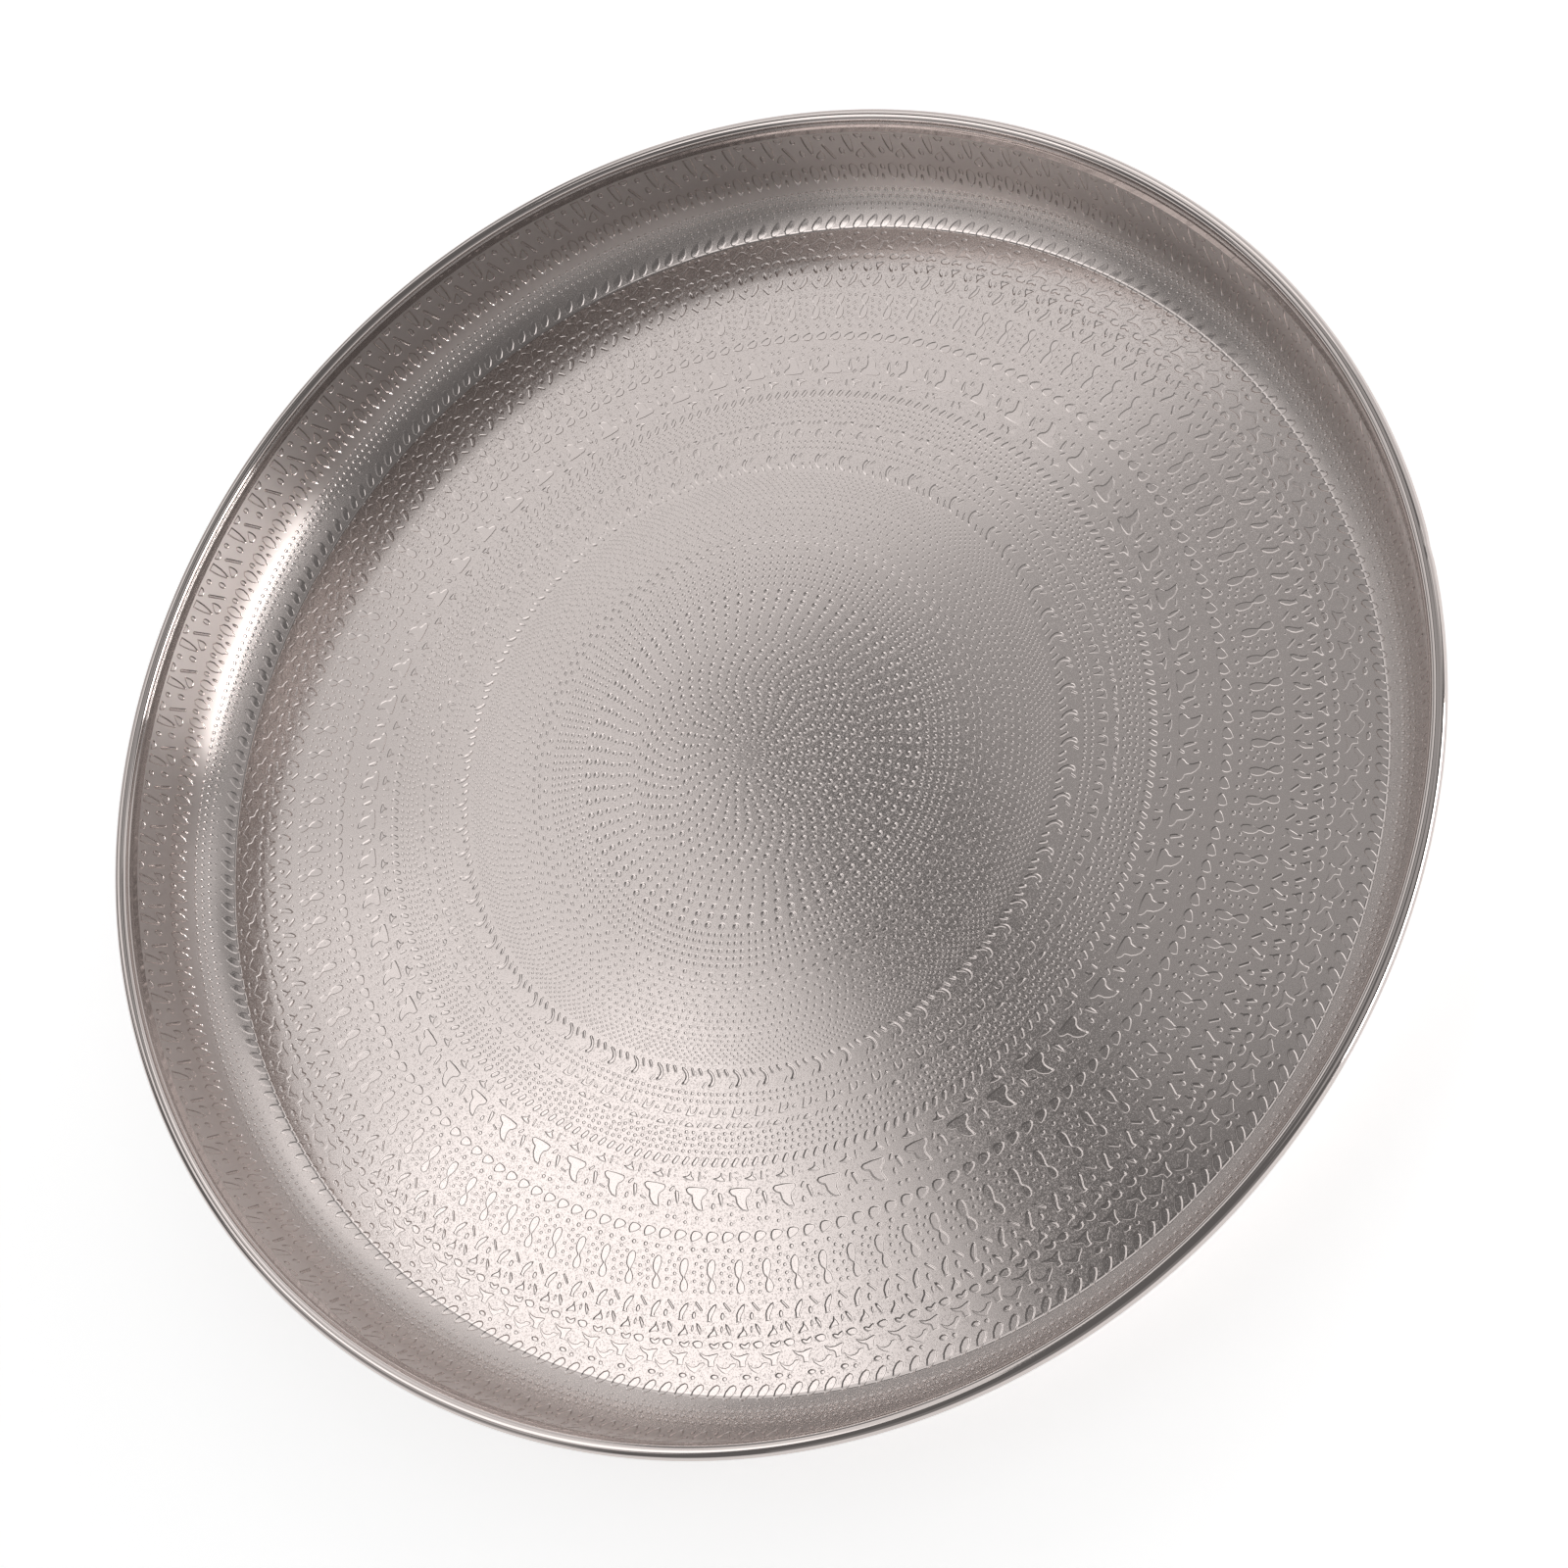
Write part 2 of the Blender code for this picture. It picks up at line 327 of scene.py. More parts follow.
def pit_of(loop):
    """Rings of a pit from its edge down to its floor: points, depth and directions of tilt."""
    if signed_area(loop) < 0:
        loop = loop[::-1]
    width = min(SIDE_WIDTH, SIDE_SHARE * half_width(loop))
    while True:
        (halfway, inward), (floor, _) = inset(loop, width / 2), inset(loop, width)
        pairs = ((halfway, halfway), (floor, floor), (loop, halfway), (halfway, floor))
        crossing = any(loops_cross(first, second) for first, second in pairs)
        if not crossing and min(signed_area(halfway), signed_area(floor)) > 0:
            break
        width *= NARROWER
    depth = width * tan(SIDE_SLOPE)
    return [(loop, 0.0, None), (halfway, depth / 2, inward), (floor, depth, None)]


def dot_pit_of(loop):
    """Rings of a dot, as pit_of gives them. The smallest dots have no floor."""
    centre = loop.mean(0)
    arm = loop - centre
    size = np.hypot(*arm.T).min()
    share = 1.0 if size < SMALLEST_FLOOR else DOT_SIDE_SHARE
    floor = centre[None] if share == 1.0 else centre + arm * (1 - share)
    depth = share * size * tan(SIDE_SLOPE)
    return [(loop, 0.0, None), (centre + arm * (1 - share / 2), depth / 2, -arm), (floor, depth, None)]


def pit_points(rings, points, side_loops, floor_loops):
    """Adds a pit's rings to the points (along, radius, depth, tilt along, tilt outward) and loops."""
    for number, (ring, depth, tilt) in enumerate(rings):
        first = len(points)
        tilt = np.zeros_like(ring) if tilt is None else tilt
        points.extend((x, radius, depth, *lean) for (x, radius), lean in zip(ring, tilt))
        if len(ring) > 1:
            target = floor_loops if number == len(rings) - 1 else side_loops
            target.append(list(range(first, first + len(ring))))


def face_kinds(inside, side_count):
    """Kinds of triangles from the loops that each lies in, side loops first."""
    around = [[GROUND] + [FLOOR if loop >= side_count else SIDE for loop in loops] for loops in inside]
    return np.array([max(kinds) for kinds in around])


def triangulate(points, loops):
    """Triangles on the points that keep every loop's edges, and the loops that each lies in."""
    edges = [(loop[i], loop[(i + 1) % len(loop)]) for loop in loops for i in range(len(loop))]
    result = delaunay_2d_cdt(
        [Vector(p) for p in points], edges, loops, HULL_TRIANGLES, MERGE_DISTANCE, True)
    made, _, faces, origins, _, face_origins = result
    if any(not origin for origin in origins):
        crossing = [tuple(round(c, 2) for c in made[i]) for i, o in enumerate(origins) if not o]
        raise ValueError(f"outlines cross at {crossing[:4]}")
    index = np.array([origin[0] for origin in origins])
    return index[np.array(faces)], face_origins


def distance_to_loop(points, loop):
    """Distance of points to a closed outline, 0 inside."""
    start, step = loop, np.roll(loop, -1, 0) - loop
    offset = points[:, None] - start[None]
    share = np.clip(np.sum(offset * step, 2) / np.sum(step * step, 1), 0, 1)
    gap = np.hypot(*np.moveaxis(offset - share[..., None] * step, 2, 0)).min(1)
    end = np.roll(loop, -1, 0)
    over = (start[:, 1] > points[:, None, 1]) != (end[:, 1] > points[:, None, 1])
    rise = np.where(step[:, 1] == 0, LEVEL_RISE, step[:, 1])
    left = points[:, None, 0] < start[:, 0] + step[:, 0] * (points[:, None, 1] - start[:, 1]) / rise
    inside = np.sum(over & left, 1) % 2 == 1
    return np.where(inside, 0.0, gap)


def fill_points(band, pitch, loops):
    """Points on a band's plain ground, so that its triangles stay small where the sheet bends."""
    columns, rows = max(1, round(pitch / FILL_SPACING)), round((band.outer - band.inner) / FILL_SPACING)
    points = []
    for row in range(1, rows):
        radius = band.inner + (band.outer - band.inner) * row / rows
        for column in range(columns):
            place = column + FILL_STAGGER * (row % 2) + FILL_START
            points.append((place * pitch / columns, radius))
    points = np.array(points).reshape(-1, 2)
    gap = np.full(len(points), np.inf)
    for loop in loops:
        for copy in (-1, 0, 1):
            gap = np.minimum(gap, distance_to_loop(points, loop + (copy * pitch, 0.0)))
    return points[gap > FILL_CLEARANCE]


def cell_of(band):
    """One repeat of a band: its width, points, side loops and floor loops."""
    scale = (band.inner + band.outer) / 2 / band.reference
    pitch = 2 * pi * band.reference * scale / band.count
    points, side_loops, floor_loops, outlines = [], [], [], []
    for shape in band.shapes:
        loop = shape.loop(band.reference) * (scale, 1.0)
        loop[:, 0] -= pitch * round(loop[:, 0].mean() / pitch)
        outlines.append(loop)
        pit_points(dot_pit_of(loop) if shape.is_dot else pit_of(loop), points, side_loops, floor_loops)
    if band.outer > FILL_FROM:
        points.extend((x, radius, 0.0, 0.0, 0.0) for x, radius in fill_points(band, pitch, outlines))
    return pitch, np.array(points), side_loops, floor_loops


def band_mesh(band):
    """Points (angle, radius, depth, tilts), triangles, face kinds and the two border rings of a band."""
    pitch, cell, side_loops, floor_loops = cell_of(band)
    middle = (band.inner + band.outer) / 2
    borders = [max(1, round(2 * pi * r / band.count / BORDER_SPACING)) for r in (band.inner, band.outer)]
    for count, radius in zip(borders, (band.inner, band.outer)):
        edge = [(step / count * pitch, radius, 0.0, 0.0, 0.0) for step in range(count)]
        cell = np.concatenate([cell, edge])

    copies = np.arange(COPIES) - COPIES // 2
    points = np.concatenate([cell[:, :2] + (copy * pitch, 0.0) for copy in copies])
    loops = [[number * len(cell) + i for i in loop]
             for kind in (side_loops, floor_loops) for number in range(COPIES) for loop in kind]
    triangles, inside = triangulate(points, loops)
    corner_copies = copies[triangles // len(cell)]
    kept = corner_copies.min(1) == 0
    kinds = face_kinds([loops for loops, keep in zip(inside, kept) if keep], COPIES * len(side_loops))

    cells = np.arange(band.count)
    angles = radians(band.start) + cell[:, 0] / middle + 2 * pi / band.count * cells[:, None]
    corner = (cells[:, None, None] + corner_copies[kept]) % band.count
    faces = (corner * len(cell) + triangles[kept] % len(cell)).reshape(-1, 3)[:, ::-1]
    tilt = cell[:, 3:] * np.stack([cell[:, 1] / middle, np.ones(len(cell))], 1)
    tilt /= np.maximum(np.hypot(*tilt.T), NO_TILT)[:, None]
    rest = np.tile(np.concatenate([cell[:, 1:3], tilt], 1), (band.count, 1))
    last = len(cell) - sum(borders)
    rings = [(cells[:, None] * len(cell) + last + np.arange(borders[0])).ravel(),
             (cells[:, None] * len(cell) + last + borders[0] + np.arange(borders[1])).ravel()]
    return np.column_stack([angles.ravel(), rest]), faces, np.tile(kinds, band.count), rings


def centre_mesh():
    """The plain middle of the ornament with its five dots, as band_mesh returns it."""
    points, side_loops, floor_loops = [], [], []
    for radius, degrees, size in CENTRE_DOTS:
        middle = np.array([radius * cos(radians(degrees)), radius * sin(radians(degrees))])
        loop = dot(0.0, 1.0, size).loop(1.0) - (0.0, 1.0) + middle
        pit_points(dot_pit_of(loop), points, side_loops, floor_loops)
    count = round(2 * pi * CENTRE_EDGE / BORDER_SPACING)
    ring = np.arange(len(points), len(points) + count)
    turns = 2 * pi * np.arange(count) / count
    points.extend((CENTRE_EDGE * cos(t), CENTRE_EDGE * sin(t), 0.0, 0.0, 0.0) for t in turns)
    x, y, depth, tilt_x, tilt_y = np.array(points).T
    triangles, inside = triangulate(np.stack([x, y], 1), side_loops + floor_loops)
    angle = np.arctan2(y, x)
    size = np.maximum(np.hypot(tilt_x, tilt_y), NO_TILT)
    along = (tilt_y * np.cos(angle) - tilt_x * np.sin(angle)) / size
    outward = (tilt_x * np.cos(angle) + tilt_y * np.sin(angle)) / size
    polar = np.stack([angle, np.hypot(x, y), depth, along, outward], 1)
    return polar, triangles, face_kinds(inside, len(side_loops)), [ring, ring]


def bridge(inner, inner_angles, outer, outer_angles):
    """Triangles between two rings of points, each given with its angles."""
    orders = [np.argsort(np.mod(a, 2 * pi)) for a in (inner_angles, outer_angles)]
    rings = [np.asarray(ring)[order] for ring, order in zip((inner, outer), orders)]
    angles = [np.mod(a, 2 * pi)[order] for a, order in zip((inner_angles, outer_angles), orders)]
    counts = [len(ring) for ring in rings]
    steps = [0, 0]

    def next_angle(side):
        step = steps[side] + 1
        return angles[side][step % counts[side]] + 2 * pi * (step // counts[side])

    triangles = []
    while steps[0] < counts[0] or steps[1] < counts[1]:
        a, b = (rings[side][steps[side] % counts[side]] for side in (0, 1))
        move_inner = steps[1] == counts[1] or (steps[0] < counts[0] and next_angle(0) < next_angle(1))
        side = 0 if move_inner else 1
        steps[side] += 1
        triangles.append((a, b, rings[side][steps[side] % counts[side]]))
    return np.array(triangles)


class FlatSheet:
    """The sheet before it is pressed: points about the tray's middle, depths, tilts, faces and kinds."""

    def __init__(self):
        self.points, self.depths, self.tilts = np.zeros((0, 2)), np.zeros(0), np.zeros((0, 2))
        self.faces, self.kinds = np.zeros((0, 3), int), np.zeros(0, int)

    def add_points(self, points, depths, tilts=None):
        first = len(self.points)
        self.points = np.concatenate([self.points, points])
        self.depths = np.concatenate([self.depths, depths])
        self.tilts = np.concatenate([self.tilts, np.zeros_like(points) if tilts is None else tilts])
        return first

    def add_ring(self, radius, steps, depths):
        first = self.add_points(circle(radius, steps), np.broadcast_to(depths, steps))
        return np.arange(first, first + steps)

    def add_faces(self, faces, kinds):
        self.faces = np.concatenate([self.faces, faces])
        self.kinds = np.concatenate([self.kinds, np.broadcast_to(kinds, len(faces))])

    def bridge(self, inner, outer, kind):
        angles = [np.arctan2(self.points[ring, 1], self.points[ring, 0]) for ring in (inner, outer)]
        faces = bridge(inner, angles[0], outer, angles[1])
        self.add_faces(faces[:, ::-1] if kind == BACK else faces, kind)

    def mark(self, inner, outer, old, new, margin=0.05):
        """Changes the kind of faces that lie between two circles about the tray's middle."""
        reach = np.hypot(*self.points.T)[self.faces]
        between = (reach.min(1) > inner - margin) & (reach.max(1) < outer + margin)
        self.kinds[between & (self.kinds == old)] = new

    def split(self, radius, snap=0.15):
        """Cuts the faces along a circle about the tray's middle."""
        reach = np.hypot(*self.points.T)
        near = np.abs(reach - radius) < snap
        self.points[near] *= (radius / reach[near])[:, None]
        side = np.where(near, 0, np.sign(reach - radius)).astype(int)
        corner = side[self.faces]
        cut = np.flatnonzero((corner.min(1) < 0) & (corner.max(1) > 0))
        made, faces, kinds = {}, [], []

        def middle(a, b):
            return made.setdefault((min(a, b), max(a, b)), len(self.points) + len(made))

        for number in cut:
            a, b, c = self.faces[number]
            for _ in range(3):
                if side[a] == 0 or (side[a] != side[b] and side[a] != side[c] and side[b] * side[c] > 0):
                    break
                a, b, c = b, c, a
            if side[a] == 0:
                halfway = middle(b, c)
                pieces = [(a, b, halfway), (a, halfway, c)]
            else:
                left, right = middle(a, b), middle(a, c)
                pieces = [(a, left, right), (left, b, c), (left, c, right)]
            faces.extend(pieces)
            kinds.extend([self.kinds[number]] * len(pieces))
        self.faces = np.delete(self.faces, cut, 0)
        self.kinds = np.delete(self.kinds, cut)
        a, b = np.array(list(made), int).reshape(-1, 2).T
        share = (radius - reach[a]) / (reach[b] - reach[a])
        points, depths, tilts = (
            values[a] + (values[b] - values[a]) * share.reshape(-1, *[1] * (values.ndim - 1))
            for values in (self.points, self.depths, self.tilts))
        self.add_points(points * radius / np.hypot(*points.T)[:, None], depths, tilts)
        self.add_faces(np.array(faces, int).reshape(-1, 3), np.array(kinds, int))


Wall = namedtuple("Wall", "first last inner outer")


def ornament_sheet():
    """The flat sheet with the whole ornament, and the part of it that lies on the wall."""
    sheet, outer = FlatSheet(), None
    shift = np.array([0.0, ORNAMENT_SHIFT])
    for polar, faces, kinds, rings in [centre_mesh()] + [band_mesh(band) for band in BANDS]:
        angle, radius, depth, along, outward = polar.T
        out = np.stack([np.cos(angle), np.sin(angle)], 1)
        across = np.stack([-np.sin(angle), np.cos(angle)], 1)
        lean = WALL_LEAN if radius[rings[0][0]] >= WALL_ORNAMENT_FROM else 1.0
        first = sheet.add_points(out * radius[:, None] + shift, depth,
                                 lean * (out * outward[:, None] + across * along[:, None]))
        sheet.add_faces(faces + first, kinds)
        inner = rings[0] + first
        if outer is not None:
            angles = [np.arctan2(*(sheet.points[ring] - shift).T[::-1]) for ring in (outer, inner)]
            sheet.add_faces(bridge(outer, angles[0], inner, angles[1]), GROUND)
        if radius[rings[0][0]] == WALL_ORNAMENT_FROM:
            wall_first, wall_inner = first, inner
        outer = rings[1] + first
    return sheet, Wall(wall_first, len(sheet.points), wall_inner, outer)


# ---------------------------------------------------------------- section and the pressed tray

Section = namedtuple("Section", "flat radius height slope crease wall_top end")


def make_section():
    """The face's section line: flat length from the middle to radius, height and slope."""
    bead_start = pi - (pi / 2 - WALL_SLOPE)
    curl_end = acos((BEAD_RADIUS - SHEET - CURL_GAP) / BEAD_RADIUS)
    bead_turn = bead_start + pi + (pi / 2 - WALL_SLOPE) - curl_end
    bends = [(CREASE_RADIUS, CREASE_SLOPE), (COVE_LOWER_RADIUS, COVE_MIDDLE_SLOPE - CREASE_SLOPE),
             (COVE_UPPER_RADIUS, WALL_SLOPE - COVE_MIDDLE_SLOPE)]
    slope, out, up = 0.0, 0.0, SHEET
    for radius, turn in bends:
        out += radius * (sin(slope + turn) - sin(slope))
        up += radius * (cos(slope) - cos(slope + turn))
        slope += turn
    wall_top = (BEAD_CENTRE[0] + BEAD_RADIUS * cos(bead_start),
                BEAD_CENTRE[1] + BEAD_RADIUS * sin(bead_start))
    wall = (wall_top[1] - up) / sin(WALL_SLOPE)
    floor = wall_top[0] - wall * cos(WALL_SLOPE) - out
    arcs = [radius * turn for radius, turn in bends]
    lengths = np.array([floor] + arcs + [wall, BEAD_RADIUS * bead_turn])
    turns = np.array([0.0] + [turn for _, turn in bends] + [0.0, -bead_turn])
    joints = np.concatenate([[0.0], np.cumsum(lengths)])
    slopes = np.concatenate([[0.0], np.cumsum(turns)])
    flat = np.unique(np.concatenate([np.linspace(0, joints[-1], SECTION_SAMPLES), joints]))
    slope = np.interp(flat, joints, slopes)
    step, mean = np.diff(flat), (slope[1:] + slope[:-1]) / 2
    radius = np.concatenate([[0.0], np.cumsum(step * np.cos(mean))])
    height = SHEET + np.concatenate([[0.0], np.cumsum(step * np.sin(mean))])
    _, crease_start, crease_end, _, _, wall_end, bead_end = joints
    return Section(flat, radius, height, slope, np.array([crease_start, crease_end]), wall_end, bead_end)


def press(section, sheet):
    """Points of the flat sheet on the tray, sunk below the face by their depths, and their normals."""
    flat, angle = np.hypot(*sheet.points.T) * UNIT, np.arctan2(*sheet.points.T[::-1])
    slope = np.interp(flat, section.flat, section.slope)
    depth = sheet.depths * UNIT
    radius = np.interp(flat, section.flat, section.radius) + np.sin(slope) * depth
    height = np.interp(flat, section.flat, section.height) - np.cos(slope) * depth

    out = np.stack([np.cos(angle), np.sin(angle), np.zeros_like(angle)], 1)
    across = np.stack([-np.sin(angle), np.cos(angle), np.zeros_like(angle)], 1)
    up = np.array([0.0, 0.0, 1.0])
    along = np.cos(slope)[:, None] * out + np.sin(slope)[:, None] * up
    face = np.cos(slope)[:, None] * up - np.sin(slope)[:, None] * out
    lean_along = np.sum(sheet.tilts * out[:, :2], 1)[:, None]
    lean_across = np.sum(sheet.tilts * across[:, :2], 1)[:, None]
    lean = sin(SIDE_TILT) * (lean_along * along + lean_across * across)
    normals = lean + face * np.sqrt(1 - np.sum(lean * lean, 1))[:, None]
    return radius[:, None] * out + height[:, None] * up, normals


# ---------------------------------------------------------------- the pan

# Rings of the plain parts
TURN_STEPS = 720
LIP_RINGS = 31
LIP_GAP = 2.5                       # plain sheet past the ornament, in its units
LIP_SWELL = 0.00022
LIP_CREST = 0.8                     # share of the lip's width where it swells most
BEAD_RINGS = 26
COVE_BACK_RINGS = 8
BACK_FLOOR_RINGS = ((0.72, 240), (0.4, 120), (0.12, 30))# shares of the floor's radius, and steps

# The dent in the bead where the wire's ends meet
PINCH_DIRECTION = radians(-39.0)
PINCH_DEPTH = 0.0003
PINCH_HALF_WIDTH = radians(0.8)
PINCH_PLACE, PINCH_REACH = 0.5, 0.16# shares of the bead's length

# Middle and radius of the sheet's two sides on the map
FACE_MAP = (0.37, 0.63, 0.36)
BACK_MAP = (0.815, 0.185, 0.175)


def circle(radius, steps):
    turn = 2 * pi * np.arange(steps) / steps
    return radius * np.stack([np.cos(turn), np.sin(turn)], 1)


def bead_ring(sheet, section, radius, depth):
    """A ring of the bead, dented on its outside where the two ends of the wire meet."""
    round_bead = (radius * UNIT - section.wall_top) / (section.end - section.wall_top)
    deepest = PINCH_DEPTH * np.exp(-((round_bead - PINCH_PLACE) / PINCH_REACH) ** 2)
    away = np.mod(2 * pi * np.arange(TURN_STEPS) / TURN_STEPS - PINCH_DIRECTION + pi, 2 * pi) - pi
    dent = deepest * np.exp(-(away / PINCH_HALF_WIDTH) ** 2)
    slope = -2 * away / PINCH_HALF_WIDTH ** 2 * dent / OUTER_RADIUS
    ring = sheet.add_ring(radius, TURN_STEPS, depth + dent / UNIT)
    spot = sheet.points[ring] / radius
    sheet.tilts[ring] = np.stack([-spot[:, 1], spot[:, 0]], 1) * (slope / sin(SIDE_TILT))[:, None]
    return ring


def lip_ring(sheet, lip, number, depth):
    """A ring of the lip, which swells slowly toward the inside and falls back just below the bead."""
    share, length = number / (LIP_RINGS - 1), lip[-1] - lip[0]
    rising = share < LIP_CREST
    side, way = (LIP_CREST, share) if rising else (1 - LIP_CREST, 1 - share)
    swell = LIP_SWELL / UNIT * sin(pi / 2 * way / side) ** 2
    steepness = LIP_SWELL / UNIT * pi / 2 / side / length * sin(pi * way / side)
    slope = steepness if rising else -steepness
    ring = sheet.add_ring(lip[number], TURN_STEPS, depth - swell)
    sheet.tilts[ring] = -sheet.points[ring] / lip[number] * slope / sin(SIDE_TILT)
    return ring


def add_rim(sheet, section, outer):
    """The plain lip above the ornament and the bead: their radii and the last ring."""
    lip_start = np.hypot(*sheet.points[outer].T).max() + LIP_GAP
    lip = np.linspace(lip_start, section.wall_top / UNIT, LIP_RINGS)
    bead = np.linspace(section.wall_top, section.end, BEAD_RINGS)[1:] / UNIT
    for number in range(LIP_RINGS):
        ring = lip_ring(sheet, lip, number, 0.0)
        sheet.bridge(outer, ring, BEAD)
        outer = ring
    for radius in bead:
        ring = bead_ring(sheet, section, radius, 0.0)
        sheet.bridge(outer, ring, BEAD)
        outer = ring
    return lip, bead, outer


def add_back(sheet, section, rim, lip, bead, wall):
    """The other side of the sheet, from the bead inward. The ornament of the wall stands out there."""
    thickness = SHEET / UNIT
    rings = [bead_ring(sheet, section, radius, thickness) for radius in bead[::-1]]
    rings += [lip_ring(sheet, lip, number, thickness) for number in reversed(range(LIP_RINGS))]
    for ring in rings:
        sheet.bridge(ring, rim, BACK)
        rim = ring

    part = slice(wall.first, wall.last)
    depths = sheet.depths[part] + thickness
    move = sheet.add_points(sheet.points[part], depths, sheet.tilts[part]) - wall.first
    copied = ((sheet.faces >= wall.first) & (sheet.faces < wall.last)).all(1)
    sheet.add_faces(sheet.faces[copied][:, ::-1] + move, BACK)
    sheet.bridge(wall.outer + move, rim, BACK)
    rim = wall.inner + move

    cove_start = np.hypot(*sheet.points[rim].T).min() - LIP_GAP
    cove = np.linspace(cove_start, section.crease[0] / UNIT, COVE_BACK_RINGS)
    rings = [sheet.add_ring(radius, TURN_STEPS, thickness) for radius in cove]
    rings += [sheet.add_ring(cove[-1] * share, steps, thickness) for share, steps in BACK_FLOOR_RINGS]
    for ring in rings:
        sheet.bridge(ring, rim, BACK)
        rim = ring
    hub = sheet.add_points(np.zeros((1, 2)), np.array([thickness]))
    sheet.add_faces(np.stack([np.full(len(rim), hub), np.roll(rim, -1), rim], 1), BACK)


def pan_arrays():
    """Points on the tray, normals, faces, kinds and map coordinates of the whole closed sheet."""
    section = make_section()
    sheet, wall = ornament_sheet()
    crease = section.crease / UNIT
    for radius in (crease[0], crease.mean(), crease[1]):
        sheet.split(radius)
    sheet.mark(crease[0], crease[1], GROUND, SIDE)
    sheet.mark(crease[1], section.wall_top / UNIT, GROUND, DRAWN)
    sheet.mark(WALL_ORNAMENT_FROM, section.wall_top / UNIT, FLOOR, DRAWN)
    lip, bead, rim = add_rim(sheet, section, wall.outer)
    face_count = len(sheet.points)
    add_back(sheet, section, rim, lip, bead, wall)

    points, normals = press(section, sheet)
    is_face = np.arange(len(points))[:, None] < face_count
    spread = np.where(is_face, FACE_MAP, BACK_MAP)
    coordinates = spread[:, :2] + sheet.points * UNIT / section.end * spread[:, 2:]
    return points, np.where(is_face, normals, -normals), sheet.faces, sheet.kinds, coordinates


def mesh_from(name, points, normals, faces, slots, coordinates):
    """A smooth triangle mesh with its own normals, material slots and map."""
    mesh = bpy.data.meshes.new(name)
    mesh.vertices.add(len(points))
    mesh.vertices.foreach_set("co", points.astype(np.float32).ravel())
    mesh.loops.add(faces.size)
    mesh.loops.foreach_set("vertex_index", faces.astype(np.int32).ravel())
    mesh.polygons.add(len(faces))
    mesh.polygons.foreach_set("loop_start", np.arange(0, faces.size, 3, dtype=np.int32))
    mesh.polygons.foreach_set("material_index", slots.astype(np.int32))
    mesh.polygons.foreach_set("use_smooth", np.ones(len(faces), bool))
    layer = mesh.uv_layers.new(name="OFBake")
    layer.data.foreach_set("uv", coordinates[faces.ravel()].astype(np.float32).ravel())
    mesh.update(calc_edges=True)
    mesh.normals_split_custom_set_from_vertices(normals.tolist())
    return mesh


# ---------------------------------------------------------------- materials

STEEL_PALE = (0.645, 0.585, 0.562, 1.0)
STEEL_DEEP = (0.59, 0.53, 0.508, 1.0)
PATCH_SCALE, PATCH_DETAIL = 14.0, 4.0
GRAIN_SCALE, GRAIN_DETAIL = 2600.0, 2.0
GRAIN_DEPTH = 0.00002
GRAIN_SMOOTH, GRAIN_ROUGH = 0.48, 0.72
BRUSH_TURN = 0.25                   # of a full turn
BRUSH_BOTTOM, BRUSH_TOP = 0.005, 0.026# heights
BRUSH_FINE, BRUSH_COARSE = 0.74, 1.25# roughness there, as a multiple

# Roughness where the grain is smooth and where it is rough, strength of the grain, and of the brushing
Finish = namedtuple("Finish", "name polish haze grain brushed")
PAN_FINISHES = {
    GROUND: Finish("satin_face", 0.16, 0.42, 0.2, 0.0),
    SIDE: Finish("pressed_pits", 0.07, 0.14, 0.1, 0.0),
    BEAD: Finish("polished_bead", 0.06, 0.1, 0.05, 0.0),
    BACK: Finish("satin_outside", 0.22, 0.4, 0.3, 0.0),
    DRAWN: Finish("drawn_wall", 0.32, 0.46, 0.2, 0.92),
    FLOOR: Finish("pressed_floors", 0.12, 0.28, 0.12, 0.0),
}
WIRE_FINISH = Finish("drawn_wire", 0.32, 0.45, 0.4, 0.0)


def map_range(tree, source, bottom, top, low=0.0, high=1.0):
    """A node that carries a value from one range to another."""
    node = tree.nodes.new("ShaderNodeMapRange")
    for name, value in (("From Min", bottom), ("From Max", top), ("To Min", low), ("To Max", high)):
        node.inputs[name].default_value = value
    tree.links.new(source, node.inputs["Value"])
    return node


def mix_colours(tree, share, first, second):
    """A node that goes from one colour to another."""
    node = tree.nodes.new("ShaderNodeMix")
    node.data_type = "RGBA"
    node.inputs["A"].default_value = first
    node.inputs["B"].default_value = second
    tree.links.new(share, node.inputs["Factor"])
    return node


def noise(tree, place, scale, detail):
    """A node with noise that stays in place on the object."""
    node = tree.nodes.new("ShaderNodeTexNoise")
    node.inputs["Scale"].default_value = scale
    node.inputs["Detail"].default_value = detail
    tree.links.new(place.outputs["Object"], node.inputs["Vector"])
    return node


def height_of(tree, vector):
    """The Z of a vector, as an output socket."""
    parts = tree.nodes.new("ShaderNodeSeparateXYZ")
    tree.links.new(vector, parts.inputs["Vector"])
    return parts.outputs["Z"]


def brush_round(tree, surface, place, sheen, strength):
    """Fine lines round the tray's axis, coarser up the wall, that spread a reflection up and down it."""
    surface.inputs["Anisotropic"].default_value = strength
    surface.inputs["Anisotropic Rotation"].default_value = BRUSH_TURN
    round_axis = tree.nodes.new("ShaderNodeTangent")
    round_axis.direction_type = "RADIAL"
    round_axis.axis = "Z"
    tree.links.new(round_axis.outputs["Tangent"], surface.inputs["Tangent"])

    height = height_of(tree, place.outputs["Object"])
    rise = map_range(tree, height, BRUSH_BOTTOM, BRUSH_TOP, BRUSH_FINE, BRUSH_COARSE)
    coarser = tree.nodes.new("ShaderNodeMath")
    coarser.operation = "MULTIPLY"
    tree.links.new(sheen.outputs["Result"], coarser.inputs[0])
    tree.links.new(rise.outputs["Result"], coarser.inputs[1])
    tree.links.new(coarser.outputs["Value"], surface.inputs["Roughness"])


